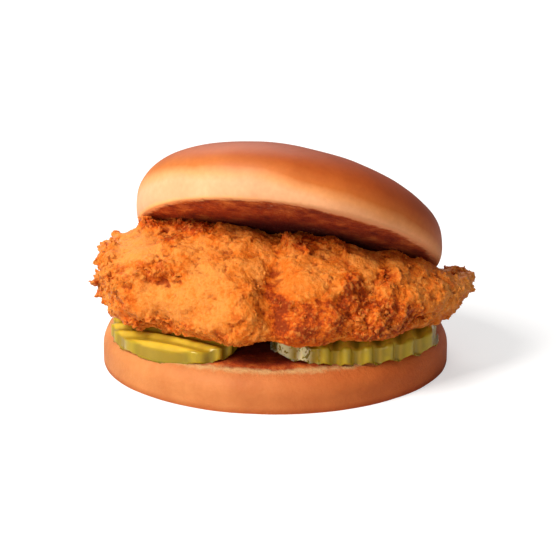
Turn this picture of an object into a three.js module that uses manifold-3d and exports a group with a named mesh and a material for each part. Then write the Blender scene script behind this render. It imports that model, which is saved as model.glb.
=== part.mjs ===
// A fried chicken burger. A soft round bun is cut into a heel and a crown. Two crinkle-cut gherkin
// slices lie on the heel, a thick breaded breast fillet lies on them, and the crown leans back on
// the fillet, so that its toasted cut face shows at the front.
// Millimetres. +Z is up, -Y is the front, and the origin is the middle of the heel's flat foot.
import * as THREE from 'three';
import { ImprovedNoise } from 'three/addons/math/ImprovedNoise.js';
import { mergeVertices } from 'three/addons/utils/BufferGeometryUtils.js';
import Module from 'manifold-3d';

const { degToRad, smoothstep, lerp } = THREE.MathUtils;

// Driving dimensions
const gap = 0.35; // air left between pieces that touch
const bunSegments = 52; // facets round the heel and the crown
const bunWobble = 0.005; // share by which a proved bun is out of round

const heel = {
  footRadius: 53, // the flat that the burger stands on
  sideRadius: 53.5, // the widest ring
  sideHeight: 5.8, // height of that ring
  topHeight: 12.8, // height of the cut face at its middle
  shoulder: 9, // exponent of the rounded edge: more is squarer
};

const crown = {
  rimRadius: 45.6, // edge of the flat cut face
  sideRadius: 48.1,
  sideHeight: 8,
  domeHeight: 26.6,
  domeFullness: 2.05, // exponent of the dome: 2 is an ellipse, more is boxier
  taper: -0.07, // the dome is this share lower at its right edge, and higher at its left one
  centre: [3.2, -3, 37.1], // middle of the cut face
  pitch: -30.5, // degrees: the front is lifted
  roll: 9.5, // degrees: the right side hangs lower
};

// Bias-cut slices are ovals. Turn is where the long axis points, in degrees to the left of +X.
const slices = [
  {
    name: 'pickle_left', centre: [-30.8, -23.8], radii: [24.4, 13.5], turn: -47,
    thickness: 3.8, crinkle: 1, pitch: 4.2, ridgeTurn: -35, phase: 0.2,
  },
  {
    name: 'pickle_right', centre: [24.5, -22], radii: [29.5, 19.5], turn: 38,
    thickness: 5, crinkle: 1.5, pitch: 6.4, ridgeTurn: 90, phase: 0.55,
  },
];
const stepsPerCrinkle = 6;
const stepsAlongCrinkle = 8;
const rimSegments = 40;
const slabMargin = 1.15; // the wavy slab that a slice is cut from, as a share of the slice's size
const droop = 0.4; // steepest slope that a slice takes over the heel's rounded edge

// The fillet is a teardrop that lies across the bun. Each outline runs from its blunt left end,
// share 0 of its length, to its pointed right end, share 1.
const fillet = {
  leftEnd: -55.5,
  rightEnd: 63,
  front: [[0, -20], [0.05, -29], [0.16, -39], [0.36, -51], [0.56, -50], [0.78, -41], [0.92, -26], [1, -9]],
  back: [[0, 2], [0.14, 17], [0.36, 27], [0.6, 26], [0.85, 13], [1, 0]],
  top: [[0, 39], [0.05, 43], [0.15, 46.5], [0.38, 48], [0.6, 45], [0.82, 38], [0.94, 33], [1, 29]],
  middle: [[0, 30], [0.15, 26], [0.4, 23], [0.7, 23], [0.9, 24.5], [1, 27]],
  bottom: [[0, 21], [0.05, 17.5], [0.16, 15], [0.4, 13], [0.7, 13], [0.88, 16], [0.96, 20], [1, 25]],
  ridge: [[0, -11], [0.3, -13], [0.7, -13], [0.9, -8], [1, -4]], // where the highest line runs
  backSlope: 0.3, // the middle falls towards the back
  endFullness: 2.2, // more makes both ends blunter
  groove: { x: -2, halfWidth: 6, depth: 2.2 }, // where two muscles meet, across the front
  lastSupport: 0.9, // past this share of the heel's radius the underside sags no further
  clearOfSlice: [1.12, 1.4], // shares of a slice's oval between which the underside comes down
  detail: 17, // subdivisions of the ball that it is shaped from
};
const breading = {
  lumpSize: 17,
  lumpDepth: 2,
  cragSize: 7,
  cragDepth: 2.2,
  pressedIn: 0.8, // how far the relief is set into the smooth form
  alongEnds: 0.4, // how far the relief of the two ends points along the fillet
  octaves: 2,
};
const bread = { color: 0xdd8c4e, roughness: 0.5, metalness: 0 };
const friedCrumb = { color: 0xd9762a, roughness: 0.6, metalness: 0 };
const gherkin = { color: 0xb8962a, roughness: 0.3, metalness: 0 };

const noise = new ImprovedNoise();

// Octaves of gradient noise, about -1 to 1, whose largest features have the given size
function unevenness(point, size) {
  let sum = 0;
  for (let octave = 0; octave < breading.octaves; octave += 1) {
    const scale = 2 ** octave / size;
    sum += noise.noise(point.x * scale + size, point.y * scale, point.z * scale) / 2 ** octave;
  }
  return sum;
}

function eachVertex(geometry, move) {
  const position = geometry.getAttribute('position');
  const point = new THREE.Vector3();
  for (let i = 0; i < position.count; i += 1) {
    point.fromBufferAttribute(position, i);
    move(point);
    position.setXYZ(i, point.x, point.y, point.z);
  }
  return geometry;
}

function closed(geometry) {
  geometry.deleteAttribute('normal');
  geometry.deleteAttribute('uv');
  return mergeVertices(geometry, 1e-3);
}

function finished(name, geometry, look) {
  geometry.computeVertexNormals();
  const mesh = new THREE.Mesh(geometry, new THREE.MeshStandardMaterial(look));
  mesh.name = name;
  return mesh;
}

// A bun half is turned round the upright axis, then made a little uneven, as a proved dough is.
function turned(profile) {
  const geometry = closed(new THREE.LatheGeometry(profile, bunSegments));
  geometry.rotateX(Math.PI / 2);
  return eachVertex(geometry, (p) => {
    const angle = Math.atan2(p.y, p.x);
    const swell = 1 + bunWobble * (Math.sin(2 * angle + 1) + 0.5 * Math.sin(3 * angle + 2));
    p.x *= swell;
    p.y *= swell;
  });
}

// The heel's cut face: almost flat, and rounded over at the edge
function heelTop(r) {
  const rise = Math.sqrt(Math.max(0, 1 - (r / heel.sideRadius) ** heel.shoulder));
  return heel.sideHeight + (heel.topHeight - heel.sideHeight) * rise;
}

function heelProfile() {
  const points = [new THREE.Vector2(0, 0)];
  const undersideSteps = 6;
  for (let i = 0; i <= undersideSteps; i += 1) {
    const turn = (i / undersideSteps) * (Math.PI / 2);
    points.push(new THREE.Vector2(
      lerp(heel.footRadius, heel.sideRadius, Math.sin(turn)),
      heel.sideHeight * (1 - Math.cos(turn)),
    ));
  }
  const shoulderShares = [0.99, 0.97, 0.94, 0.9, 0.84, 0.72, 0.5, 0.25, 0];
  for (const share of shoulderShares) {
    const r = share * heel.sideRadius;
    points.push(new THREE.Vector2(r, heelTop(r)));
  }
  return points;
}

function makeHeel() {
  return finished('heel', turned(heelProfile()), bread);
}

function crownProfile() {
  const points = [new THREE.Vector2(0, 0), new THREE.Vector2(crown.rimRadius * 0.5, 0)];
  const edgeSteps = 4;
  for (let i = 0; i <= edgeSteps; i += 1) {
    const turn = (i / edgeSteps) * (Math.PI / 2);
    points.push(new THREE.Vector2(
      lerp(crown.rimRadius, crown.sideRadius, Math.sin(turn)),
      crown.sideHeight * (1 - Math.cos(turn)),
    ));
  }
  const domeSteps = 11;
  for (let i = 1; i <= domeSteps; i += 1) {
    const turn = (i / domeSteps) * (Math.PI / 2);
    points.push(new THREE.Vector2(
      i === domeSteps ? 0 : crown.sideRadius * Math.cos(turn) ** (2 / crown.domeFullness),
      lerp(crown.sideHeight, crown.domeHeight, Math.sin(turn) ** (2 / crown.domeFullness)),
    ));
  }
  return points;
}

// The crown's own frame: its origin is the middle of the cut face, and its +Z goes into the dome.
const crownFrame = new THREE.Object3D();
crownFrame.rotation.set(degToRad(crown.pitch), degToRad(crown.roll), 0, 'XYZ');
crownFrame.position.set(...crown.centre);
crownFrame.updateMatrixWorld(true);
const intoCrown = crownFrame.matrixWorld.clone().invert();
const crownNormal = new THREE.Vector3(0, 0, 1).applyEuler(crownFrame.rotation);

// Height of the crown's cut face over a point of the plan
function cutFaceHeight(x, y) {
  const [cx, cy, cz] = crown.centre;
  return cz - (crownNormal.x * (x - cx) + crownNormal.y * (y - cy)) / crownNormal.z;
}

function makeCrown() {
  const dome = turned(crownProfile());
  eachVertex(dome, (p) => {
    p.z *= 1 + (crown.taper * p.x) / crown.sideRadius;
  });
  const mesh = finished('crown', dome, bread);
  mesh.rotation.copy(crownFrame.rotation);
  mesh.position.copy(crownFrame.position);
  return mesh;
}

// Underside of a slice: it lies on the heel, and bends down a little over the rounded edge.
function drape(x, y) {
  const r = Math.hypot(x, y);
  const step = 0.5;
  let reach = 0;
  while (reach < r && heelTop(reach) - heelTop(reach + step) < step * droop) {
    reach += step;
  }
  return heelTop(reach) - Math.max(0, r - reach) * droop;
}

function sliceOutline({ radii, turn }) {
  const oval = new THREE.Shape();
  oval.absellipse(0, 0, radii[0], radii[1], 0, 2 * Math.PI, false, degToRad(turn));
  return oval;
}

// Two parallel waves, one above the other, as a crinkle blade leaves them
function crinkleSection(width, { thickness, crinkle, pitch, phase }) {
  const count = Math.ceil((2 * width) / pitch) * stepsPerCrinkle;
  const lower = [];
  for (let i = 0; i <= count; i += 1) {
    const along = (i / count - 0.5) * 2 * width;
    const lift = 0.5 * crinkle * (1 + Math.cos(2 * Math.PI * (along / pitch + phase)));
    lower.push(new THREE.Vector2(along, lift));
  }
  const upper = lower.map((p) => new THREE.Vector2(p.x, p.y + thickness)).reverse();
  return new THREE.Shape([...lower, ...upper]);
}

function makeSlices(wasm) {
  const solidOf = (geometry) => {
    const merged = closed(geometry);
    return new wasm.Manifold(new wasm.Mesh({
      numProp: 3,
      vertProperties: merged.getAttribute('position').array,
      triVerts: new Uint32Array(merged.index.array),
    }));
  };
  const geometryOf = (solid) => {
    const { vertProperties, triVerts } = solid.getMesh();
    const geometry = new THREE.BufferGeometry();
    geometry.setAttribute('position', new THREE.BufferAttribute(vertProperties, 3));
    geometry.setIndex(new THREE.BufferAttribute(triVerts, 1));
    return geometry;
  };
  return slices.map((item) => {
    const [cx, cy] = item.centre;
    const reach = slabMargin * Math.max(...item.radii);
    const slab = new THREE.ExtrudeGeometry(crinkleSection(reach, item), {
      depth: 2 * reach, steps: stepsAlongCrinkle, bevelEnabled: false,
    });
    slab.translate(0, 0, -reach);
    slab.rotateX(Math.PI / 2);
    slab.rotateZ(degToRad(item.ridgeTurn - 90));
    eachVertex(slab, (p) => {
      p.z += drape(p.x + cx, p.y + cy) + gap;
    });
    const cutter = new THREE.ExtrudeGeometry(sliceOutline(item), {
      depth: 2 * reach, bevelEnabled: false, curveSegments: rimSegments,
    });
    const cut = solidOf(slab).intersect(solidOf(cutter));
    const mesh = finished(item.name, geometryOf(cut), gherkin);
    mesh.position.set(cx, cy, 0);
    return mesh;
  });
}

// What the fillet lies on: the heel, and the slices where they are
function support(x, y) {
  let height = heelTop(Math.min(Math.hypot(x, y), fillet.lastSupport * heel.sideRadius));
  for (const { centre, radii, turn, thickness, crinkle } of slices) {
    const middle = new THREE.Vector2(...centre);
    const from = new THREE.Vector2(x, y).rotateAround(middle, -degToRad(turn)).sub(middle);
    const away = Math.hypot(from.x / radii[0], from.y / radii[1]);
    const over = 1 - smoothstep(away, ...fillet.clearOfSlice);
    height = Math.max(height, lerp(height, drape(x, y) + gap + crinkle + thickness, over));
  }
  return height + gap;
}

// Smooth curve through the points of an outline, looked up by the share of the length
const curveSamples = 160;
function outlineCurve(points) {
  const curve = new THREE.SplineCurve(points.map(([share, value]) => new THREE.Vector2(share, value)));
  const samples = curve.getPoints(curveSamples);
  return (share) => {
    const next = Math.max(1, samples.findIndex((sample) => sample.x >= share));
    const [from, to] = [samples[next - 1], samples[next]];
    return lerp(from.y, to.y, (share - from.x) / (to.x - from.x));
  };
}

const outline = {};
for (const side of ['front', 'back', 'top', 'middle', 'bottom', 'ridge']) {
  outline[side] = outlineCurve(fillet[side]);
}

// A point of the unit sphere becomes a point of the smooth fillet, before its breading.
function filletPoint(ball) {
  const share = 0.5 + 0.5 * ball.x;
  const round = Math.hypot(ball.y, ball.z) || 1e-6;
  const fullness = Math.min(1, fillet.endFullness * round);
  const [cy, cz] = [ball.y / round, ball.z / round];
  const ridge = outline.ridge(share);
  const across = cy < 0 ? outline.front(share) : outline.back(share);
  const y = lerp(ridge, across, Math.abs(cy) * fullness);
  const sag = fillet.backSlope * Math.max(0, y - ridge);
  const middle = outline.middle(share);
  const upright = cz > 0 ? outline.top(share) : outline.bottom(share);
  return new THREE.Vector3(
    lerp(fillet.leftEnd, fillet.rightEnd, share),
    y,
    lerp(middle, upright, Math.abs(cz) * fullness) - sag,
  );
}

// Depth of the groove between the two muscles
function grooveDepth({ x }) {
  const { x: middle, halfWidth, depth } = fillet.groove;
  return depth * Math.exp(-(((x - middle) / halfWidth) ** 2));
}

// The breading stands out from the smooth form in lumps and craggy ridges. It is pressed flat where
// the fillet lies on its support and where the crown leans on it.
function makeFillet() {
  const geometry = closed(new THREE.IcosahedronGeometry(1, fillet.detail));
  eachVertex(geometry, (p) => {
    const outward = new THREE.Vector3(breading.alongEnds * p.x, p.y, p.z).normalize();
    p.copy(filletPoint(p));
    const lumps = breading.lumpDepth * unevenness(p, breading.lumpSize);
    const crags = breading.cragDepth * Math.abs(unevenness(p, breading.cragSize));
    p.addScaledVector(outward, lumps + crags - breading.pressedIn - grooveDepth(p));
    p.z = Math.max(p.z, support(p.x, p.y));
    const inCrown = p.clone().applyMatrix4(intoCrown);
    if (Math.hypot(inCrown.x, inCrown.y) < crown.sideRadius + breading.lumpDepth) {
      p.z = Math.min(p.z, cutFaceHeight(p.x, p.y) - gap / crownNormal.z);
    }
  });
  return finished('fillet', geometry, friedCrumb);
}

const wasm = await Module();
wasm.setup();

const burger = new THREE.Group();
burger.add(makeHeel(), ...makeSlices(wasm), makeFillet(), makeCrown());

export default burger;
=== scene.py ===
# %% [markdown]
# # A fried chicken burger
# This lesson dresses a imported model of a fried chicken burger. The model gives the true sizes and
# places of five pieces: the heel and the crown of a soft bun, two crinkle-cut gherkin slices, and a
# breaded breast fillet. Each piece is made again here with the surface that the food has, and stands
# in the place of its plain solid.

import math

import bpy
import numpy as np
from mathutils import Euler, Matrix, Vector, noise
from mathutils.bvhtree import BVHTree


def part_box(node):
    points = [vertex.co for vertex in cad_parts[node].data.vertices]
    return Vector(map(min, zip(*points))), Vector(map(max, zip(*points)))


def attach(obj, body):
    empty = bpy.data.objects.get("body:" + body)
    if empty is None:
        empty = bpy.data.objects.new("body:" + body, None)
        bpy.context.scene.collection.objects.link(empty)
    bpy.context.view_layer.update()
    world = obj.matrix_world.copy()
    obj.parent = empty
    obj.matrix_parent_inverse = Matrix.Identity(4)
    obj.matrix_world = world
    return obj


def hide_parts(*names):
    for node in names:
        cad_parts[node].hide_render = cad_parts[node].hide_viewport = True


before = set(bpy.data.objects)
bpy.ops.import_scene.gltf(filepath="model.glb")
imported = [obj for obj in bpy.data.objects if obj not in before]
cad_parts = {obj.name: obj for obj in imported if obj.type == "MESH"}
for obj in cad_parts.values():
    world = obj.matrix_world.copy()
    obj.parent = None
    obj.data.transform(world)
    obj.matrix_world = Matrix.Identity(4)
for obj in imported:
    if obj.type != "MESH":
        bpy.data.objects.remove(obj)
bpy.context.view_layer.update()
MM = 0.001
print("nodes:", sorted(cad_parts))

# %% [markdown]
# ## Working by operators
# Blender's operators act on what is selected, and the loaded model is all selected. So each step
# first clears the selection and picks its own piece. A modifier is added, set and applied in one go,
# which leaves a plain mesh that the next step can shape further.

# %% Selection and modifier helpers
def pick(*pieces):
    bpy.ops.object.select_all(action="DESELECT")
    for piece in pieces:
        piece.select_set(True)
    bpy.context.view_layer.objects.active = pieces[0]


def modify(piece, kind, **settings):
    pick(piece)
    bpy.ops.object.modifier_add(type=kind)
    modifier = piece.modifiers[-1]
    for setting, value in settings.items():
        setattr(modifier, setting, value)
    bpy.ops.object.modifier_apply(modifier=modifier.name)


def corners(piece):
    points = np.empty(len(piece.data.vertices) * 3)
    piece.data.vertices.foreach_get("co", points)
    return points.reshape(-1, 3)


def move_corners(piece, points):
    piece.data.vertices.foreach_set("co", points.ravel())
    piece.data.update()


def ease(values, low, high):
    share = np.clip((values - low) / (high - low), 0, 1)
    return share * share * (3 - 2 * share)


def count(piece):
    piece.data.calc_loop_triangles()
    print(piece.name, "has", len(piece.data.loop_triangles), "triangles")


# %% [markdown]
# ## Camera
# The photograph was taken with a long lens from a little above. The camera looks straight at the
# front of the burger, 17 degrees down, from 650 mm away. Its lens follows from how large the heel
# appears: one millimetre at the middle of the burger covers 3.2 pixels of the 560 pixel frame. A
# camera can also be placed by eye, but measured values can be checked against the picture.

# %% Camera
VIEW_DOWN = math.radians(17)
VIEW_DISTANCE = 650 * MM
AIM = Vector((1.48, 0, 24.5)) * MM
PIXELS_PER_MM = 3.2
FRAME_PIXELS = 560
SENSOR = 36
NEAREST = 10 * MM

towards_camera = Vector((0, -math.cos(VIEW_DOWN), math.sin(VIEW_DOWN)))
bpy.ops.object.camera_add(
    location=AIM + towards_camera * VIEW_DISTANCE,
    rotation=(math.pi / 2 - VIEW_DOWN, 0, 0),
)
camera = bpy.context.object
camera.name = "camera"
camera.data.sensor_width = SENSOR
camera.data.lens = SENSOR * PIXELS_PER_MM * VIEW_DISTANCE / MM / FRAME_PIXELS
camera.data.clip_start = NEAREST
bpy.context.scene.camera = camera
print("lens in mm:", round(camera.data.lens, 1))

# %% [markdown]
# ## Studio
# The burger stands on a plain white surface. That surface shines white towards the camera but gives
# little light back to the burger, which keeps the shaded side as deep as it is in the photograph. A
# brighter floor would look as white, but it would light the heel and the fillet from below.

# %% Floor
FLOOR_SIZE = 6
FLOOR_BOUNCE = 0.6
FLOOR_GLOW = 0.5
WHITE = (1, 1, 1, 1)


def floor_finish(bounce, glow):
    finish = bpy.data.materials.new("floor_white")
    finish.use_nodes = True
    tree = finish.node_tree
    tree.nodes.clear()
    paint = tree.nodes.new("ShaderNodeBsdfDiffuse")
    paint.inputs["Color"].default_value = (bounce, bounce, bounce, 1)
    shine = tree.nodes.new("ShaderNodeEmission")
    shine.inputs["Color"].default_value = WHITE
    path = tree.nodes.new("ShaderNodeLightPath")
    power = tree.nodes.new("ShaderNodeMath")
    power.operation = "MULTIPLY"
    power.inputs[1].default_value = glow
    total = tree.nodes.new("ShaderNodeAddShader")
    output = tree.nodes.new("ShaderNodeOutputMaterial")
    tree.links.new(path.outputs["Is Camera Ray"], power.inputs[0])
    tree.links.new(power.outputs[0], shine.inputs["Strength"])
    tree.links.new(paint.outputs[0], total.inputs[0])
    tree.links.new(shine.outputs[0], total.inputs[1])
    tree.links.new(total.outputs[0], output.inputs["Surface"])
    return finish


bpy.ops.object.select_all(action="DESELECT")
bpy.ops.mesh.primitive_plane_add(size=FLOOR_SIZE, location=(0, 0, 0))
floor = bpy.context.object
floor.name = "floor"
floor.data.materials.append(floor_finish(FLOOR_BOUNCE, FLOOR_GLOW))

# %% [markdown]
# A large soft light stands high on the left and in front, so that the right side falls into a warm
# shade. A low one in front reaches under the fillet, and one behind draws a pale sheen along the top
# of the crust. The room itself gives only a little light, or it would wash the shade out. Places are
# in metres, and power is in watts.

# %% Lights
LIGHTS = {
    "key": {
        "place": (-0.56, -0.44, 0.72), "aim": (0, 0, 0.03),
        "size": 0.36, "power": 11.0, "colour": (1.0, 0.98, 0.95),
    },
    "low": {
        "place": (-0.35, -0.90, 0.16), "aim": (0, 0, 0.03),
        "size": 0.45, "power": 2.4, "colour": (1.0, 0.97, 0.92),
    },
    "back": {
        "place": (-0.15, 0.75, 0.62), "aim": (0, 0, 0.05),
        "size": 0.6, "power": 3.6, "colour": (1.0, 0.98, 0.96),
    },
}
ROOM_LIGHT = 0.28


def area_light(name, place, aim, size, power, colour):
    direction = Vector(aim) - Vector(place)
    bpy.ops.object.light_add(
        type="AREA",
        location=place,
        rotation=direction.to_track_quat("-Z", "Y").to_euler(),
    )
    light = bpy.context.object
    light.name = name
    light.data.size = size
    light.data.energy = power
    light.data.color = colour


for name, light_form in LIGHTS.items():
    area_light(name, **light_form)
world = bpy.data.worlds.new("room")
world.use_nodes = True
room = world.node_tree.nodes["Background"]
room.inputs["Color"].default_value = WHITE
room.inputs["Strength"].default_value = ROOM_LIGHT
bpy.context.scene.world = world
bpy.context.scene.view_settings.view_transform = "Standard"

# %% [markdown]
# ## Turning bread
# Both bun halves are round. They could be sculpted from a squashed ball, but a turned outline gives
# the true edge at once. A plane is merged to a single corner, the corner is extruded along half of
# the section, from the middle of the foot to the middle of the top, and the line is spun round the
# upright axis. The spin leaves a double seam and doubled poles, so doubles are merged at the end.

# %% Spin an outline
SPIN_STEPS = 180
DOUBLES = 0.001 * MM


def spin_outline(name, outline):
    radius, height = outline[0]
    bpy.ops.object.select_all(action="DESELECT")
    bpy.ops.mesh.primitive_plane_add(size=1 * MM, location=(0, 0, 0))
    piece = bpy.context.object
    piece.name = piece.data.name = name
    bpy.ops.object.mode_set(mode="EDIT")
    bpy.ops.mesh.select_all(action="SELECT")
    bpy.ops.mesh.merge(type="CENTER")
    bpy.ops.transform.translate(value=(radius, 0, height))
    for next_radius, next_height in outline[1:]:
        step = (next_radius - radius, 0, next_height - height)
        bpy.ops.mesh.extrude_vertices_move(TRANSFORM_OT_translate={"value": step})
        radius, height = next_radius, next_height
    bpy.ops.mesh.select_all(action="SELECT")
    bpy.ops.mesh.spin(steps=SPIN_STEPS, angle=2 * math.pi, center=(0, 0, 0), axis=(0, 0, 1))
    bpy.ops.mesh.select_all(action="SELECT")
    bpy.ops.mesh.remove_doubles(threshold=DOUBLES)
    bpy.ops.mesh.normals_make_consistent(inside=False)
    bpy.ops.object.mode_set(mode="OBJECT")
    count(piece)
    return piece


# %% [markdown]
# ## The heel
# The lower half of the bun is a low disc. Its foot is flat, its side is upright, and its cut face is
# level with a tight rounded edge. The outline goes straight up from the foot, and a power curve takes
# it over the shoulder: the higher the power, the tighter the edge. A coarse displacement keeps the
# bread from looking machined.

# %% Heel shape
HEEL_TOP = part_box("heel")[1][2]
HEEL_RADIUS = 53.9 * MM
HEEL_SIDE_HEIGHT = 4.6 * MM
HEEL_SHOULDER = 15
SHOULDER_SHARE = 0.14
CROWDED_OUT = 1.6
FACE_SHARE = 0.84
EDGE_INSET = 1 * MM
DOUGH_LUMP = 26 * MM
HEEL_UNEVENNESS = 0.9 * MM


def heel_top(radius):
    rise = math.sqrt(max(0, 1 - (radius / HEEL_RADIUS) ** HEEL_SHOULDER))
    return HEEL_SIDE_HEIGHT + (HEEL_TOP - HEEL_SIDE_HEIGHT) * rise


def heel_outline():
    outline = [(radius, 0) for radius in np.linspace(0, HEEL_RADIUS - EDGE_INSET, 16)]
    for turn in np.linspace(0, math.pi / 2, 14):
        outline.append((HEEL_RADIUS, HEEL_SIDE_HEIGHT * (1 - math.cos(turn))))
    for share in 1 - SHOULDER_SHARE * np.linspace(0.05, 1, 22) ** CROWDED_OUT:
        outline.append((share * HEEL_RADIUS, heel_top(share * HEEL_RADIUS)))
    for radius in np.linspace(FACE_SHARE * HEEL_RADIUS, 0, 40):
        outline.append((radius, heel_top(radius)))
    return outline


proved = bpy.data.textures.new("proved_dough", "CLOUDS")
proved.noise_scale = DOUGH_LUMP


def make_uneven(bread, amount):
    modify(bread, "DISPLACE", texture=proved, texture_coords="LOCAL", strength=amount, mid_level=0.5)


heel_bread = spin_outline("heel_bread", heel_outline())
make_uneven(heel_bread, HEEL_UNEVENNESS)

# %% [markdown]
# The displacement lifts the foot a little, so the lowest points are pressed flat again, as the bun's
# own weight does to the real one.

# %% Heel foot
PRESSED_FLAT = 1.2 * MM

points = corners(heel_bread)
near_foot = points[:, 2] < PRESSED_FLAT
inside_edge = np.hypot(points[:, 0], points[:, 1]) < HEEL_RADIUS - EDGE_INSET
points[near_foot & inside_edge, 2] = 0
points[:, 2] = np.maximum(points[:, 2], 0)
move_corners(heel_bread, points)
print("heel height in mm:", round(points[:, 2].max() / MM, 2))

# %% [markdown]
# ## The crown
# The upper half is a dome with a rounded lower edge. Its outline is a quarter curve round the edge and
# a squared-off quarter ellipse, which is fuller than a plain one, as a well-proved bun is. It is built
# upright in its own frame, and leaned back on the fillet later.

# %% Crown shape
CROWN_RIM = 45.2 * MM
CROWN_RADIUS = 47.6 * MM
CROWN_SIDE_HEIGHT = 8 * MM
CROWN_HEIGHT = 26.3 * MM
CROWN_FULLNESS = 2.05
CROWN_UNEVENNESS = 1.0 * MM


def crown_outline():
    outline = [(radius, 0) for radius in np.linspace(0, CROWN_RIM - EDGE_INSET, 40)]
    for turn in np.linspace(0, math.pi / 2, 16):
        radius = CROWN_RIM + (CROWN_RADIUS - CROWN_RIM) * math.sin(turn)
        outline.append((radius, CROWN_SIDE_HEIGHT * (1 - math.cos(turn))))
    for turn in np.linspace(0, math.pi / 2, 44)[1:]:
        radius = CROWN_RADIUS * max(0, math.cos(turn)) ** (2 / CROWN_FULLNESS)
        rise = math.sin(turn) ** (2 / CROWN_FULLNESS)
        outline.append((radius, CROWN_SIDE_HEIGHT + (CROWN_HEIGHT - CROWN_SIDE_HEIGHT) * rise))
    return outline


crown_bread = spin_outline("crown_bread", crown_outline())
make_uneven(crown_bread, CROWN_UNEVENNESS)

# %% [markdown]
# The crust's colour is easy to describe by height while both halves are upright, so each corner's
# place is kept as an attribute first. Then the crown's soft right side gets its sag: low corners move
# out, high ones move in, and the height shrinks to the right. Last it is leaned back, and the turn and
# the place are applied, which puts them in the mesh and leaves the object itself at the origin.

# %% Crown place
CROWN_TAPER = -0.07
CROWN_SAG = 0.17
SAG_BEGINS = 8 * MM
SAG_FULL = 44 * MM
CROWN_CENTRE = Vector((3.2, -3, 37.1)) * MM
CROWN_LEAN = Euler((math.radians(-30.5), math.radians(9.5), 0), "XYZ")


def keep_own_place(piece):
    place = piece.data.attributes.new("own_place", "FLOAT_VECTOR", "POINT")
    place.data.foreach_set("vector", (corners(piece) / MM).ravel())


keep_own_place(heel_bread)
keep_own_place(crown_bread)
points = corners(crown_bread)
on_right = ease(points[:, 0], SAG_BEGINS, SAG_FULL)
points[:, 0] += CROWN_SAG * (CROWN_SIDE_HEIGHT - points[:, 2]) * on_right
points[:, 2] *= 1 + CROWN_TAPER * points[:, 0] / CROWN_RADIUS
move_corners(crown_bread, points)
pick(crown_bread)
crown_bread.rotation_euler = CROWN_LEAN
crown_bread.location = CROWN_CENTRE
bpy.ops.object.transform_apply(location=True, rotation=True, scale=True)
print("crown's highest point in mm:", round(corners(crown_bread)[:, 2].max() / MM, 1))

# %% [markdown]
# ## The gherkin slices
# A crinkle blade leaves parallel waves in the upper and the lower face. The solids already have them,
# with few steps, so each slice starts as a copy of its solid. Its loose triangles are merged, and a
# fine voxel remesh evens them out, so that the corners can be moved without tearing.

# %% Copy and remesh helpers
LOOSE_CORNERS = 0.01 * MM


def copy_of_node(node, name):
    pick(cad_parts[node])
    bpy.ops.object.duplicate()
    piece = bpy.context.object
    piece.name = piece.data.name = name
    piece.hide_render = False
    bpy.ops.object.mode_set(mode="EDIT")
    bpy.ops.mesh.select_all(action="SELECT")
    bpy.ops.mesh.remove_doubles(threshold=LOOSE_CORNERS)
    bpy.ops.mesh.normals_make_consistent(inside=False)
    bpy.ops.object.mode_set(mode="OBJECT")
    piece.data.materials.clear()
    return piece


def remesh(piece, voxel):
    modify(piece, "REMESH", mode="VOXEL", voxel_size=voxel, use_smooth_shade=True)


def outward(piece):
    normals = np.empty(len(piece.data.vertices) * 3)
    piece.data.vertices.foreach_get("normal", normals)
    return normals.reshape(-1, 3)


def keep_number(piece, name, values):
    attribute = piece.data.attributes.new(name, "FLOAT", "POINT")
    attribute.data.foreach_set("value", np.asarray(values, dtype=np.float32))


# %% [markdown]
# Each slice is described by the middle of its oval and its two half lengths in millimetres, how the
# oval is turned, the way its ridges run, how far apart they are, and where the waves start. The blade
# drags at the skin, which flutes the rim in step with the waves: the rim is pushed out at a crest and
# in where a valley meets it. On the right slice the waves are also made a little deeper.

# %% Slice shapes
SLICE_VOXEL = 0.4 * MM
FACING_UP = (0.4, 0.8)
AT_RIM = (0.9, 0.98)
FLUTE_BALANCE = 0.3
SLICES = {
    "left": {
        "middle": (-30.8, -23.8), "long": 24.4, "wide": 13.5, "turn": -47,
        "ridges": -35, "pitch": 4.2, "phase": 0.2, "deeper": 0.0, "flutes": 0.5,
    },
    "right": {
        "middle": (24.5, -22), "long": 29.5, "wide": 19.5, "turn": 38,
        "ridges": 90, "pitch": 6.4, "phase": 0.55, "deeper": 0.1, "flutes": 1.1,
    },
}


def wave_of_slice(points, form):
    turn = math.radians(form["ridges"])
    across = (points[:, 0] - form["middle"][0] * MM) * math.sin(turn)
    across -= (points[:, 1] - form["middle"][1] * MM) * math.cos(turn)
    return np.cos(2 * math.pi * (across / MM / form["pitch"] + form["phase"]))


def rim_share(points, form):
    turn = math.radians(form["turn"])
    east = points[:, 0] / MM - form["middle"][0]
    north = points[:, 1] / MM - form["middle"][1]
    along = east * math.cos(turn) + north * math.sin(turn)
    across = north * math.cos(turn) - east * math.sin(turn)
    return np.hypot(along / form["long"], across / form["wide"])


slices = []
for side, form in SLICES.items():
    slice_piece = copy_of_node("pickle_" + side, "gherkin_" + side)
    remesh(slice_piece, SLICE_VOXEL)
    modify(slice_piece, "SMOOTH", factor=0.5, iterations=2)
    points = corners(slice_piece)
    normals = outward(slice_piece)
    waves = wave_of_slice(points, form)
    upper = ease(normals[:, 2], *FACING_UP)
    on_rim = ease(rim_share(points, form), *AT_RIM)
    points[:, 2] += form["deeper"] * MM * waves * upper
    sideways = normals * (1, 1, 0)
    points += form["flutes"] * MM * (on_rim * (waves - FLUTE_BALANCE))[:, None] * sideways
    move_corners(slice_piece, points)
    keep_number(slice_piece, "wave", waves)
    keep_number(slice_piece, "rim", rim_share(points, form))
    slices.append(slice_piece)
    count(slice_piece)

# %% [markdown]
# ## The fillet
# Fried breading is a thick coat of flour that sets in plates, folds and hundreds of crisp nubs. No
# single noise looks like that, so it is built in layers. The smooth meat comes first, from the solid.
# Terraces then break it into plates with ragged edges. Nubs of many sizes are seeded on it, thickly
# in the craggy places and thinly on the smooth plates, and a voxel remesh fuses it all into one skin.

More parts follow.
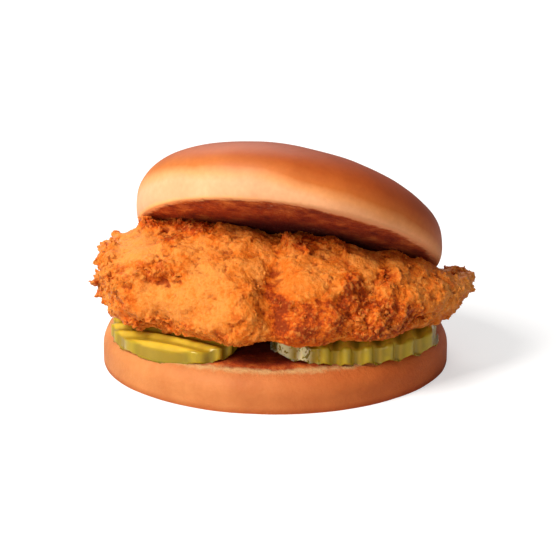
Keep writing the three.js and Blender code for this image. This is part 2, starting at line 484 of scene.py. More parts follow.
# %% Smooth meat under the breading
MEAT_VOXEL = 0.5 * MM
MEAT_SMOOTHING = 7

meat = copy_of_node("fillet", "fillet_form")
remesh(meat, MEAT_VOXEL)
modify(meat, "SMOOTH", factor=0.5, iterations=MEAT_SMOOTHING)
count(meat)

# %% [markdown]
# The photograph shows where the breading is smooth and where it is craggy, and where it is pale gold
# or deep orange. Each place is an oval in the front view: its middle across and up, its half width
# and half height in millimetres, how craggy it is from 0 to 1, and how golden, where less than 0 is
# red brown. A slow noise blurs the ovals' edges. The rest, and all that faces back, follows two slow
# noises, so that it is as uneven as the front.

# %% Where the breading is craggy and where it is golden
PLACES = {
    "large golden plate": (-25, 31.5, 16, 10, 0.0, 0.8),
    "left golden plate": (-42, 41, 9, 4.5, 0.1, 1.0),
    "small upper plate": (-24, 45, 5, 3, 0.1, 0.8),
    # red brown under the crown: partly crisp crust, partly painted shade from the crown
    "under the crown, left": (-30, 49, 15, 3.6, 0.85, -0.15),
    "under the crown, middle": (-3, 48.5, 14, 3.2, 0.8, -0.1),
    "under the crown, right": (18, 45, 12, 3.2, 0.6, -0.1),
    "upper middle": (-9, 43, 10, 5, 0.35, 0.65),
    "middle": (15, 37, 10, 6, 0.35, 0.6),
    # deep orange in the groove: partly the crust's own colour, partly painted shade
    "groove": (0.5, 28, 4, 12, 0.2, -0.15),
    "oily patch": (4, 37, 4.5, 4, 0.05, 0.45),
    "right oily patch": (37, 30, 4.5, 3, 0.1, 0.3),
    "right upper plate": (27, 40, 5, 4, 0.15, 0.75),
    "right flank": (44, 34, 9, 6, 0.4, 0.45),
    "low middle": (14, 26, 9, 7, 0.3, -0.05),
    "left end": (-54, 32, 8, 13, 1.0, 0.6),
    "broken band": (-34, 38, 7, 3.2, 0.9, 0.25),
    "lower left edge": (-24, 19.5, 24, 4.5, 1.0, 0.4),
    "left of the groove": (-8, 27, 6, 9, 0.45, 0.45),
    "right hollow": (23, 33, 4, 5, 0.6, -0.1),
    "lower right": (31, 24, 13, 6, 0.8, -0.1),
    "point": (57, 28, 8, 9, 0.6, 0.7),
}
FRONT = (-4 * MM, 6 * MM)
OVAL_EDGE = (0.75, 1.35)
CRAG_MEAN = 0.6
CRAG_SPREAD = 0.8
CRAG_PATCH = 9 * MM
GOLD_MEAN = 0.4
GOLD_SPREAD = 0.5
GOLD_PATCH = 12 * MM
BLUR = 0.35
BLUR_PATCH = 4 * MM
REDDEST = -0.3


def wave(points, size, octaves=1, shift=0.0):
    offset = Vector((shift, 2 * shift, 3 * shift))
    return np.array([noise.fractal(Vector(p) / size + offset, 1.0, 2.0, octaves) for p in points])


def crag_and_gold(points):
    crag = CRAG_MEAN + CRAG_SPREAD * wave(points, CRAG_PATCH, 2, 4.1)
    gold = GOLD_MEAN + GOLD_SPREAD * wave(points, GOLD_PATCH, 2, 5.2)
    in_front = ease(-points[:, 1], *FRONT)
    blur = BLUR * wave(points, BLUR_PATCH, 2, 9.3)
    for x, z, half_width, half_height, crag_there, gold_there in PLACES.values():
        across = (points[:, 0] / MM - x) / half_width
        up = (points[:, 2] / MM - z) / half_height
        inside = in_front * (1 - ease(np.hypot(across, up) + blur, *OVAL_EDGE))
        crag += (crag_there - crag) * inside
        gold += (gold_there - gold) * inside
    return np.clip(crag, 0, 1), np.clip(gold, REDDEST, 1)


# %% [markdown]
# The plates come from a warped noise that is cut into levels. Each level is a flap less than a
# millimetre high, and the warp frays its edge. Craggy places are covered in flakes: the cells of a
# Voronoi noise, each raised and tipped its own way, so that a ledge runs round it. There are large
# flakes and small ones. A slow swell keeps broad areas from being even, a groove parts the two halves
# of the front, and a few pushes correct the outline: each has its middle across and up, its reach and
# its push, in millimetres.

# %% Plates and flakes
LEVELS = 4.5
FLAP = 0.8 * MM
FLAP_EDGE = (0.42, 0.58)
LARGE_FLAKE = {"size": 4.6 * MM, "tip": 1.45 * MM, "lift": 0.5 * MM, "shift": 31.3}
SMALL_FLAKE = {"size": 2.0 * MM, "tip": 0.8 * MM, "lift": 0.2 * MM, "shift": 32.7}
PLATE_SIZE = 13 * MM
FRAY = {"coarse": 3.2 * MM, "coarse_by": 1.1 * MM, "fine": 1.1 * MM, "fine_by": 0.3 * MM}
SWELL_SIZE = 15 * MM
SWELL = 1.2 * MM
PRESSED_IN = 0.2 * MM
GROOVE_X = 0.5 * MM
GROOVE_HALF_WIDTH = 3.5 * MM
GROOVE_DEPTH = 1.6 * MM
GROOVE_REACH = (30 * MM, 42 * MM)
FACING_DOWN = (0.5, 0.9)
PUSHED = {
    "upper left edge": (-54, 39, 6, 1.6),
    "left end": (-57, 29, 6, -1.8),
    "under the left end": (-54, 23, 5, -1.8),
    "over the left slice": (-38, 18, 9, -2.6),
    "between the slices": (-12, 15, 7, 2.2),
    "point": (61, 26, 5, 2.2),
    "above the point": (56, 34, 5, -2.4),
    "under the point": (47, 19, 7, -2.2),
}


def fray(points):
    coarse = np.stack([wave(points, FRAY["coarse"], 2, 20 + k) for k in range(3)], axis=1)
    fine = np.stack([wave(points, FRAY["fine"], 1, 23 + k) for k in range(3)], axis=1)
    return points + FRAY["coarse_by"] * coarse + FRAY["fine_by"] * fine


def terraces(frayed):
    level = LEVELS * (wave(frayed, PLATE_SIZE, 2, 1.7) + 1)
    step = level - np.floor(level)
    return np.floor(level) + ease(step, *FLAP_EDGE), np.abs(step - 0.5)


def flakes(frayed, size, tip, lift, shift):
    heights = np.empty(len(frayed))
    tones = np.empty(len(frayed))
    for k, place in enumerate(frayed):
        spot = Vector(place) / size + Vector((shift, shift, shift))
        middle = noise.voronoi(spot)[1][0]
        slope = noise.cell_vector(middle * 7.3) - Vector((0.5, 0.5, 0.5))
        tones[k] = noise.cell(middle * 5.1)
        heights[k] = tip * slope.dot(spot - middle) * 2 + lift * tones[k]
    return heights, tones


points = corners(meat)
normals = outward(meat)
crag, _ = crag_and_gold(points)
frayed = fray(points)
flaps, _ = terraces(frayed)
large, _ = flakes(frayed, **LARGE_FLAKE)
small, _ = flakes(frayed, **SMALL_FLAKE)
relief = SWELL * wave(points, SWELL_SIZE, 1, 7.7)
relief += (flaps - flaps.mean()) * FLAP * (0.3 + 0.7 * crag)
relief += large * ease(crag, 0.1, 0.9) + small * (0.1 + 0.8 * crag)
from_groove = (points[:, 0] - GROOVE_X) / GROOVE_HALF_WIDTH
groove = np.exp(-(from_groove**2)) * ease(-points[:, 1], *GROOVE_REACH)
relief -= PRESSED_IN + GROOVE_DEPTH * groove
for x, z, reach, push in PUSHED.values():
    distance = np.hypot(points[:, 0] / MM - x, points[:, 2] / MM - z) / reach
    relief += push * MM * np.exp(-(distance**2))
relief *= 1 - 0.8 * ease(-normals[:, 2], *FACING_DOWN)
move_corners(meat, points + normals * relief[:, None])
print("the breading's relief in mm:", round(relief.min() / MM, 1), "to", round(relief.max() / MM, 1))

# %% [markdown]
# A nub is a blob of flour and batter that has crisped in the fat. It is an icosphere that a noise has
# pushed out of shape, and a crumb is a coarse one with sharp corners. Seven of each are made. Each
# seed on the fillet gets one of the seven, with its own turn, size and stretch, so that no two look
# alike.

# %% Nub and crumb shapes
SHAPE_KINDS = 7
SEED = 11
rng = np.random.default_rng(SEED)


def broken_balls(subdivisions, roughness):
    shapes = []
    for kind in range(SHAPE_KINDS):
        bpy.ops.object.select_all(action="DESELECT")
        bpy.ops.mesh.primitive_ico_sphere_add(subdivisions=subdivisions, radius=1)
        ball = bpy.context.object
        ball_points = corners(ball)
        lumps = 1 + roughness * wave(ball_points, 0.7, 2, 5.0 * kind + 1)
        faces = np.array([polygon.vertices[:] for polygon in ball.data.polygons])
        shapes.append((ball_points * lumps[:, None], faces))
        bpy.data.objects.remove(ball)
    return shapes


nub_shapes = broken_balls(subdivisions=2, roughness=0.8)
crumb_shapes = broken_balls(subdivisions=1, roughness=0.9)


def turned_about(normals):
    tangents = np.cross(normals, rng.normal(size=normals.shape))
    tangents /= np.linalg.norm(tangents, axis=1, keepdims=True)
    return np.stack([tangents, np.cross(normals, tangents), normals], axis=2)


def scatter(name, shapes, places, normals, sizes, stretch, flatness, tilt):
    tipped = normals + tilt * rng.normal(size=normals.shape)
    tipped /= np.linalg.norm(tipped, axis=1, keepdims=True)
    all_points, all_faces, used = [], [], 0
    for place, turn, size in zip(places, turned_about(tipped), sizes):
        shape_points, shape_faces = shapes[rng.integers(SHAPE_KINDS)]
        scale = size * np.array([rng.uniform(1, stretch), 1, rng.uniform(flatness, 0.8)])
        all_points.append((shape_points * scale) @ turn.T + place)
        all_faces.append(shape_faces + used)
        used += len(shape_points)
    mesh = bpy.data.meshes.new(name)
    mesh.from_pydata(np.concatenate(all_points).tolist(), [], np.concatenate(all_faces).tolist())
    piece = bpy.data.objects.new(name, mesh)
    bpy.context.collection.objects.link(piece)
    return piece


def spots_on(piece, number):
    mesh = piece.data
    centres = np.empty(len(mesh.polygons) * 3)
    normals = np.empty(len(mesh.polygons) * 3)
    areas = np.empty(len(mesh.polygons))
    mesh.polygons.foreach_get("center", centres)
    mesh.polygons.foreach_get("normal", normals)
    mesh.polygons.foreach_get("area", areas)
    chosen = rng.choice(len(areas), size=number, p=areas / areas.sum())
    return centres.reshape(-1, 3)[chosen], normals.reshape(-1, 3)[chosen]


# %% [markdown]
# Spots are drawn all over the skin by face area. Most of those in craggy places are kept, with more
# of them along the plates' edges and in clumps, and almost none on the underside, which rests on the
# slices. The nubs are joined with the skin, and the voxel remesh fuses them with it, as frying does.

# %% Seed the nubs and fuse them
NUB_SPOTS = 3600
BREADING_VOXEL = 0.46 * MM
CLUMP = 3.0 * MM
NEAR_EDGE = 0.16
RESTING = (0.55, 0.85)
NUB_SHARE = (0.6, 1.5)
SMALLEST_NUB = 0.5
NUB_SPREAD = 1.0


def seeds_by_crag(surface, number, low, high):
    places, normals = spots_on(surface, number)
    _, from_edge = terraces(fray(places))
    clumps = 0.6 * wave(places, CLUMP, 1, 14.0)
    crag, _ = crag_and_gold(places)
    wanted = ease(crag + 0.35 * (from_edge < NEAR_EDGE) + clumps, low, high)
    wanted *= 1 - 0.9 * ease(-normals[:, 2], *RESTING)
    chosen = rng.random(number) < wanted
    return places[chosen], normals[chosen]


places, normals = seeds_by_crag(meat, NUB_SPOTS, *NUB_SHARE)
sizes = MM * (SMALLEST_NUB + NUB_SPREAD * rng.random(len(places)) ** 3)
nubs = scatter("nubs", nub_shapes, places, normals, sizes, stretch=2.4, flatness=0.35, tilt=0.6)
print(len(places), "nubs")
breading = copy_of_node("fillet", "fillet_breading")
breading.data = meat.data.copy()
pick(breading, nubs)
bpy.ops.object.join()
remesh(breading, BREADING_VOXEL)
count(breading)

# %% [markdown]
# A fine noise roughens what the voxels left round, as the flour's grains do. The remesh is denser than
# the piece may be, so it is thinned after that. Thinning can shrink a grain to two faces, back to back:
# validate takes one of them out, and the other, which has only open edges, is deleted.

# %% Roughen and thin
MOST_TRIANGLES = 195_000
GRAIN_SIZE = 1.0 * MM
GRAIN_HEIGHT = 0.36 * MM

points = corners(breading)
crag, _ = crag_and_gold(points)
grains = GRAIN_HEIGHT * wave(points, GRAIN_SIZE, 2, 6.1) * (0.6 + 0.6 * crag)
move_corners(breading, points + outward(breading) * grains[:, None])
breading.data.calc_loop_triangles()
share = MOST_TRIANGLES / len(breading.data.loop_triangles)
if share < 1:
    modify(breading, "DECIMATE", ratio=share)
breading.data.validate()
pick(breading)
bpy.ops.object.mode_set(mode="EDIT")
bpy.ops.mesh.select_mode(type="EDGE")
bpy.ops.mesh.select_all(action="DESELECT")
bpy.ops.mesh.select_non_manifold(
    use_wire=False, use_multi_face=False, use_non_contiguous=False, use_verts=False,
)
bpy.ops.mesh.delete(type="FACE")
bpy.ops.mesh.select_all(action="SELECT")
bpy.ops.mesh.delete_loose()
bpy.ops.object.mode_set(mode="OBJECT")
count(breading)

# %% [markdown]
# Thousands of crisp crumbs and slivers sit on the skin. Fused in, their edges would be lost between the
# voxels, so they stay a piece of their own, each with twenty faces, half sunk and tipped. Most are
# tiny, because the random share is raised to a power before it sets the size.

# %% Crumbs
CRUMB_SPOTS = 20_000
CRUMB_SHARE = (0.3, 1.7)
SMALLEST_CRUMB = 0.22
CRUMB_SPREAD = 0.2
CRAGGY_SPREAD = 0.55

places, normals = seeds_by_crag(breading, CRUMB_SPOTS, *CRUMB_SHARE)
crag, _ = crag_and_gold(places)
spread = CRUMB_SPREAD + CRAGGY_SPREAD * crag
sizes = MM * (SMALLEST_CRUMB + spread * rng.random(len(places)) ** 4)
crumbs = scatter(
    "fillet_crumbs", crumb_shapes, places, normals, sizes, stretch=2.0, flatness=0.3, tilt=0.7,
)
print(len(places), "crumbs")

# %% [markdown]
# The colour follows the relief. High nubs are darker, as the fryer browns them. Small sharp edges are
# pale, partly with flour and partly as a painted highlight, and the hollows are deep red brown as
# painted shade. A material can't measure that, so attributes carry it: how craggy and how golden
# the place is, the tone of its flakes, how far each point rises above the plates, and how far it
# stands out of its close and its wider neighbours. A crumb has no such neighbours of its own, so it
# is measured from the skin that it sits on.

# %% Relief as attributes
CLOSE_ROUNDS = 4
WIDE_ROUNDS = 30


def neighbour_mean(points, edges, rounds):
    total = points.copy()
    degree = np.bincount(edges.ravel(), minlength=len(points))
    for _ in range(rounds):
        gathered = total.copy()
        for axis in range(3):
            gathered[:, axis] += np.bincount(edges[:, 0], total[edges[:, 1], axis], len(points))
            gathered[:, axis] += np.bincount(edges[:, 1], total[edges[:, 0], axis], len(points))
        total = gathered / (degree + 1)[:, None]
    return total


def stands_out(piece, rounds):
    edges = np.empty(len(piece.data.edges) * 2, dtype=np.int64)
    piece.data.edges.foreach_get("vertices", edges)
    points = corners(piece)
    flattened = neighbour_mean(points, edges.reshape(-1, 2), rounds)
    return ((points - flattened) * outward(piece)).sum(axis=1)


def height_over(surface, piece):
    tree = BVHTree.FromObject(surface, bpy.context.evaluated_depsgraph_get())
    heights = []
    for point in corners(piece):
        nearest, normal, _, _ = tree.find_nearest(Vector(point))
        heights.append((Vector(point) - nearest).dot(normal))
    return np.array(heights)


def flake_tones(points):
    frayed = fray(points)
    _, large = flakes(frayed, **LARGE_FLAKE)
    _, small = flakes(frayed, **SMALL_FLAKE)
    return 0.5 * large + 0.5 * small


for piece in (breading, crumbs):
    crag, gold = crag_and_gold(corners(piece))
    keep_number(piece, "crag", crag)
    keep_number(piece, "gold", gold)
    keep_number(piece, "flake_tone", flake_tones(corners(piece)))
    keep_number(piece, "rise", height_over(meat, piece) / MM)
keep_number(breading, "fine_relief", stands_out(breading, CLOSE_ROUNDS) / MM)
keep_number(breading, "broad_relief", stands_out(breading, WIDE_ROUNDS) / MM)
keep_number(crumbs, "fine_relief", height_over(breading, crumbs) / MM)
keep_number(crumbs, "broad_relief", np.zeros(len(crumbs.data.vertices)))
bpy.data.objects.remove(meat)
for piece in (breading, crumbs):
    print(piece.name, "carries", [attribute.name for attribute in piece.data.attributes])

# %% [markdown]
# ## Finishes
# Each finish is a node material that reads the piece's own attributes or its object coordinates, so
# that it stays on the food from every side. A few helpers keep the node code short.

# %% Material helpers
class Finish:
    def __init__(self, name):
        self.material = bpy.data.materials.new(name)
        self.material.use_nodes = True
        self.tree = self.material.node_tree
        self.shader = self.tree.nodes["Principled BSDF"]

    def add(self, kind, **settings):
        node = self.tree.nodes.new(kind)
        for setting, value in settings.items():
            setattr(node, setting, value)
        return node

    def join(self, source, target):
        self.tree.links.new(source, target)

    def set(self, **values):
        for name, value in values.items():
            self.shader.inputs[name.replace("_", " ")].default_value = value

    def drive(self, name, source):
        self.join(source, self.shader.inputs[name])

    def number(self, name):
        return self.add("ShaderNodeAttribute", attribute_name=name).outputs["Fac"]

    def noise(self, scale, detail, roughness, coordinates=None):
        node = self.add("ShaderNodeTexNoise")
        node.inputs["Scale"].default_value = scale
        node.inputs["Detail"].default_value = detail
        node.inputs["Roughness"].default_value = roughness
        source = coordinates or self.add("ShaderNodeTexCoord").outputs["Object"]
        self.join(source, node.inputs["Vector"])
        return node.outputs["Fac"]

    def math(self, operation, first, second, third=0.5):
        node = self.add("ShaderNodeMath", operation=operation)
        for socket, value in zip(node.inputs, (first, second, third)):
            if isinstance(value, (int, float)):
                socket.default_value = value
            else:
                self.join(value, socket)
        return node.outputs[0]

    def times(self, first, second):
        return self.math("MULTIPLY", first, second)

    def plus(self, first, second):
        return self.math("ADD", first, second)

    def scaled(self, source, factor, offset):
        return self.math("MULTIPLY_ADD", source, factor, offset)

    def ramp(self, source, stops):
        node = self.add("ShaderNodeValToRGB")
        elements = node.color_ramp.elements
        while len(elements) < len(stops):
            elements.new(0.5)
        for element, (position, colour) in zip(elements, stops):
            element.position = position
            element.color = (*colour, 1)
        self.join(source, node.inputs["Fac"])
        return node.outputs["Color"]

    def steps(self, source, low, high):
        node = self.add("ShaderNodeMapRange", interpolation_type="SMOOTHSTEP")
        node.inputs["From Min"].default_value = low
        node.inputs["From Max"].default_value = high
        self.join(source, node.inputs["Value"])
        return node.outputs["Result"]

    def mix(self, share, first, second, blend="MIX"):
        node = self.add("ShaderNodeMix", data_type="RGBA", blend_type=blend)
        if isinstance(share, float):
            node.inputs["Factor"].default_value = share
        else:
            self.join(share, node.inputs["Factor"])
        colour_a, colour_b = node.inputs[6], node.inputs[7]
        for socket, value in ((colour_a, first), (colour_b, second)):
            if isinstance(value, tuple):
                socket.default_value = (*value, 1)
            else:
                self.join(value, socket)
        return node.outputs[2]

    def tinted(self, colour, tint, share=1.0):
        return self.mix(share, colour, tint, "MULTIPLY")

    def bump(self, height, distance, strength, under=None):
        node = self.add("ShaderNodeBump")
        node.inputs["Strength"].default_value = strength
        node.inputs["Distance"].default_value = distance
        self.join(height, node.inputs["Height"])
        if under:
            self.join(under, node.inputs["Normal"])
        return node.outputs["Normal"]


# %% [markdown]
# ### Bread
# The crust of a soft bun is pale where the buns touched in the oven and browns towards the top. On the
# cut face the crumb is toasted brown, in ragged patches, and a pale rim stays round its edge. Towards
# the middle, where the fillet shades it, the toast darkens: that is painted shade. Both halves read
# the place that was kept while they were upright, in millimetres: height for the crust, and the
# distance from the middle for the cut face. Painting by hand would do as well, but this way the colours
# are right from every side.

# %% Places and toast on a bun half
TOAST_PALE = (0.72, 0.19, 0.03)
TOAST = (0.4, 0.052, 0.006)
# dark toast in the patches, and painted shade towards the middle of the cut face
DARK_TOAST_AND_SHADE = (0.14, 0.008, 0.002)
TOAST_PATCHES = {"scale": 0.16, "detail": 5.0, "roughness": 0.7}
RAGGED_TOAST = {"scale": 0.3, "detail": 4.0, "roughness": 0.65}
RAGGED_BY = 5.0


def bun_place(finish):
    own = finish.add("ShaderNodeAttribute", attribute_name="own_place").outputs["Vector"]
    split = finish.add("ShaderNodeSeparateXYZ")
    finish.join(own, split.inputs[0])
    flat = finish.add("ShaderNodeVectorMath", operation="MULTIPLY")
    finish.join(own, flat.inputs[0])
    flat.inputs[1].default_value = (1, 1, 0)
    length = finish.add("ShaderNodeVectorMath", operation="LENGTH")
    finish.join(flat.outputs["Vector"], length.inputs[0])
    return own, split.outputs["X"], split.outputs["Z"], length.outputs["Value"]


def toasted(finish, own, radius, toast_edge, rim):
    patches = finish.noise(**TOAST_PATCHES, coordinates=own)
    brown = finish.ramp(patches, [(0.3, DARK_TOAST_AND_SHADE), (0.5, TOAST), (0.72, TOAST_PALE)])
    ragged = finish.times(finish.noise(**RAGGED_TOAST, coordinates=own), RAGGED_BY)
    ragged = finish.plus(radius, ragged)
    # painted shade: the toast darkens towards the middle, where the fillet shades it
    shade_to_middle = finish.steps(ragged, toast_edge - 6, toast_edge - 22)
    brown = finish.mix(shade_to_middle, brown, DARK_TOAST_AND_SHADE)
    to_rim = finish.steps(ragged, toast_edge + 1.2, toast_edge + 3.8)
    return finish.mix(to_rim, brown, rim)


# %% [markdown]
# The crown's crust is cream in a band over its lower edge and bakes through sand and honey to a deep
# brown on top. A noise in the height keeps the band's edge from being a circle, and freckles and
# blotches break up the even brown. Light from the left is painted into the crust: the band's edge
# climbs higher on the left, the left is tinted lighter as painted light, and the right is tinted a
# deeper brown as painted shade, less so on the band.

# %% Crown crust
CREAM = (0.85, 0.42, 0.21)
SAND = (0.8, 0.34, 0.12)
HONEY = (0.6, 0.165, 0.03)
BROWN = (0.46, 0.095, 0.012)
DEEP_BROWN = (0.36, 0.062, 0.008)
BAKING = [
    (0.0, CREAM), (0.07, CREAM), (0.17, SAND), (0.32, HONEY), (0.6, BROWN), (1.0, DEEP_BROWN),
]
BAND_WAVER = {"scale": 0.05, "detail": 3.0, "roughness": 0.5}
WAVER_BY = 5.0
# painted light and shade: the band's edge lies higher on the left and lower on the right
PAINTED_LIGHT_LEAN = (0.075, 0.4)
BAKED_HEIGHTS = (2.0, 24.0)
FRECKLES = {"scale": 0.6, "detail": 4.0, "roughness": 0.6}
FRECKLE_TINTS = [(0.3, (0.86, 0.8, 0.74)), (0.7, (1, 1, 1))]
BLOTCHES = {"scale": 0.045, "detail": 4.0, "roughness": 0.6}
BLOTCH_TINTS = [(0.35, (0.86, 0.78, 0.7)), (0.6, (1.08, 1.09, 1.08))]
# painted light on the left of the crust, painted shade on its right
CRUST_LIT_LEFT = (1.02, 1.1, 1.15)
CRUST_SHADED_RIGHT = (1.04, 0.78, 0.53)
CRUST_ENDS = (-45.0, 50.0)
OFF_BAND = (2.0, 12.0)

crown = Finish("crown_crust")
own, across, height, radius = bun_place(crown)
waver = crown.times(crown.noise(**BAND_WAVER, coordinates=own), WAVER_BY)
baked_height = crown.plus(height, waver)
# painted light and shade: the band's edge lies higher on the left and lower on the right
baked_height = crown.plus(baked_height, crown.scaled(across, *PAINTED_LIGHT_LEAN))
baked = crown.ramp(crown.steps(baked_height, *BAKED_HEIGHTS), BAKING)
freckles = crown.ramp(crown.noise(**FRECKLES, coordinates=own), FRECKLE_TINTS)
baked = crown.tinted(baked, freckles, share=0.6)
blotches = crown.ramp(crown.noise(**BLOTCHES, coordinates=own), BLOTCH_TINTS)
baked = crown.tinted(baked, blotches, share=0.55)
# painted light on the left of the crust and painted shade on its right, less on the band
painted_light_and_shade = crown.mix(crown.steps(across, *CRUST_ENDS), CRUST_LIT_LEFT, CRUST_SHADED_RIGHT)
shade_share_off_band = crown.scaled(crown.steps(height, *OFF_BAND), 0.35, 0.65)
baked = crown.tinted(baked, painted_light_and_shade, share=shade_share_off_band)

# %% [markdown]
# The crown's cut face is toasted like the heel's, and it is tinted across: lighter at its left end as
# painted light, and a little darker at its right end as painted shade.
# The line between crust and cut face wavers a little. Only the cut face has pores: on the smooth crust
# a bump would look like orange peel.

# %% Crown cut face
CROWN_TOAST_EDGE = 44.0
# painted light at the cut face's left end, painted shade at its right end
CUT_LIT_LEFT = (1.4, 1.55, 1.5)
CUT_SHADED_RIGHT = (0.9, 0.85, 1.0)
CUT_ENDS = (-42.0, 10.0)
CUT_WAVER = {"scale": 0.7, "detail": 3.0, "roughness": 0.6}
CUT_WAVER_BY = 1.2
CUT_LINE = (0.4, -0.5)
PORES = {"scale": 0.9, "detail": 4.0, "roughness": 0.7}
PORES_WITHIN = (45.0, 42.0)
PORES_BELOW = (3.0, 1.0)
CROWN_PORE_DEPTH = 1.2 * MM
BREAD_GLOW = {"Subsurface_Weight": 0.1, "Subsurface_Scale": 0.003}

cut = toasted(crown, own, radius, CROWN_TOAST_EDGE, SAND)
# painted light at the cut face's left end and painted shade at its right end
cut_light_and_shade = crown.mix(crown.steps(across, *CUT_ENDS), CUT_LIT_LEFT, CUT_SHADED_RIGHT)
cut = crown.tinted(cut, cut_light_and_shade)
waver = crown.times(crown.noise(**CUT_WAVER, coordinates=own), CUT_WAVER_BY)
on_cut = crown.steps(crown.math("SUBTRACT", height, waver), *CUT_LINE)
crown.drive("Base Color", crown.mix(on_cut, baked, cut))
crown.drive("Roughness", crown.scaled(on_cut, 0.3, 0.52))
crown.set(**BREAD_GLOW, Specular_IOR_Level=0.25)
pores = crown.noise(**PORES, coordinates=own)
pores = crown.times(pores, crown.steps(radius, *PORES_WITHIN))
pores = crown.times(pores, crown.steps(height, *PORES_BELOW))
crown.drive("Normal", crown.bump(pores, CROWN_PORE_DEPTH, strength=1.0))

# %% [markdown]
# The heel's side is a soft orange brown, mottled. A painted contact shade darkens it along the line
# where it stands, and it is tinted lighter on the left as painted light and darker on the right as
# painted shade. Its cut face has a pale crumb rim, which the ragged toast leaves free. The rest is
# darker, partly from the oil it takes up from the fillet and partly as painted shade under the fillet.

# %% Heel finish
SIDE = (0.68, 0.225, 0.06)
SIDE_BROWN = (0.57, 0.165, 0.04)
CRUMB = (0.66, 0.38, 0.15)
SIDE_MOTTLE = {"scale": 0.08, "detail": 5.0, "roughness": 0.65}
# painted light on the left of the heel's side, painted shade on its right
SIDE_LIT_LEFT = (1.0, 1.12, 1.22)
SIDE_SHADED_RIGHT = (0.88, 0.54, 0.32)
SIDE_ENDS = (-50.0, 50.0)
# painted contact shade along the foot, where the heel stands
FOOT_SHADE_HEIGHTS = (0.2, 2.2)
FOOT_SHADE_TINT = (0.78, 0.6, 0.5)
UNTINTED = (1.0, 1.0, 1.0)
HEEL_TOAST_EDGE = 48.5
# darker middle of the cut face: partly oil from the fillet, partly painted shade under it
OIL_AND_SHADE_TINT = (0.6, 0.42, 0.3)
OIL_AND_SHADE_WITHIN = (47.5, 43.5)
SHOULDER_WAVER = {"scale": 0.35, "detail": 3.0, "roughness": 0.6}
SHOULDER_WAVER_BY = 1.6
SHOULDER_LINE = (11.6, 12.8)
PORES_ABOVE = (9.0, 12.4)
HEEL_PORE_DEPTH = 0.9 * MM

heel = Finish("heel_crust")
own, across, height, radius = bun_place(heel)
mottle = heel.noise(**SIDE_MOTTLE, coordinates=own)
side = heel.ramp(mottle, [(0.36, SIDE), (0.66, SIDE_BROWN)])
# painted light on the left of the heel's side and painted shade on its right
painted_light_and_shade = heel.mix(heel.steps(across, *SIDE_ENDS), SIDE_LIT_LEFT, SIDE_SHADED_RIGHT)
side = heel.tinted(side, painted_light_and_shade)
# painted contact shade along the foot
painted_foot_shade = heel.mix(heel.steps(height, *FOOT_SHADE_HEIGHTS), FOOT_SHADE_TINT, UNTINTED)
side = heel.tinted(side, painted_foot_shade)
cut = toasted(heel, own, radius, HEEL_TOAST_EDGE, CRUMB)
# darker middle: partly oil from the fillet, partly painted shade under it
oil_and_shade = heel.steps(radius, *OIL_AND_SHADE_WITHIN)
cut = heel.mix(oil_and_shade, cut, heel.tinted(cut, OIL_AND_SHADE_TINT))
waver = heel.times(heel.noise(**SHOULDER_WAVER, coordinates=own), SHOULDER_WAVER_BY)
on_cut = heel.steps(heel.plus(height, waver), *SHOULDER_LINE)
heel.drive("Base Color", heel.mix(on_cut, side, cut))
heel.drive("Roughness", heel.scaled(on_cut, 0.2, 0.55))
heel.set(**BREAD_GLOW, Specular_IOR_Level=0.2)
to_top = heel.scaled(heel.steps(height, *PORES_ABOVE), 0.7, 0.3)
pores = heel.times(heel.noise(**PORES, coordinates=own), to_top)
heel.drive("Normal", heel.bump(pores, HEEL_PORE_DEPTH, strength=0.9))

for piece, finish in ((heel_bread, heel), (crown_bread, crown)):
    piece.data.materials.clear()
    piece.data.materials.append(finish.material)
    pick(piece)
    bpy.ops.object.shade_smooth()
    print(piece.name, "has a finish of", len(finish.tree.nodes), "nodes")

# %% [markdown]
# ### Gherkin
# Pickled flesh is wet and lets light through. It is yellow olive inside, with streaks, and painted
# shade darkens it along the valleys of the waves. The rim is skin: greener and duller, with painted
# shade in the valleys of the flutes and painted light on their crests.
# Near the middle of the burger, at the right slice's left end, it is grey green with dark freckles.
# One finish serves both slices, because the attributes tell it where the waves and the rims are.

# %% Gherkin flesh
FLESH = (0.67, 0.45, 0.04)
# dark streaks of the flesh, and painted shade in the valleys of the waves
DARK_FLESH_AND_SHADE = (0.52, 0.32, 0.025)
VALLEY_SHADE = (0.3, 0.2, 0.01)
IN_VALLEY = (-0.5, -0.95)
STREAKS = {"scale": 160, "detail": 3.0, "roughness": 0.6}

gherkin = Finish("gherkin_flesh")
waves = gherkin.number("wave")
rim = gherkin.number("rim")
streaks = gherkin.scaled(gherkin.noise(**STREAKS), 1.2, -0.35)
# painted shade: the flesh darkens towards the valleys of the waves, over its own streaks
streaks_and_valley_shade = gherkin.plus(gherkin.times(waves, 0.3), streaks)
flesh = gherkin.ramp(streaks_and_valley_shade, [(0.0, DARK_FLESH_AND_SHADE), (0.5, FLESH)])
# painted shade along the bottom of each valley
painted_valley_shade = gherkin.times(gherkin.steps(waves, *IN_VALLEY), 0.6)
flesh = gherkin.mix(painted_valley_shade, flesh, VALLEY_SHADE)

# %% Gherkin skin
SKIN = (0.36, 0.25, 0.012)
SKIN_SHADE = (0.27, 0.19, 0.02)
SKIN_DARK = (0.14, 0.1, 0.012)
GREY_SKIN = (0.8, 0.78, 0.5)
WARTS = {"scale": 350, "detail": 3.0, "roughness": 0.6}
DARK_FRECKLES = {"scale": 900, "detail": 2.0, "roughness": 0.6}
# painted light on the flute crests and painted shade in their valleys
FLUTE_LIGHT_AND_SHADE = [(0.1, (0.42, 0.42, 0.3)), (0.8, (1.12, 1.12, 1.0))]
GREY_LEFT = (-9 * MM, -6 * MM)
GREY_RIGHT = (14 * MM, 10 * MM)
SKIN_BEGINS = (0.94, 0.99)
WET_GRAIN = {"scale": 500, "detail": 3.0, "roughness": 0.6}
WET_GRAIN_HEIGHT = 0.15 * MM

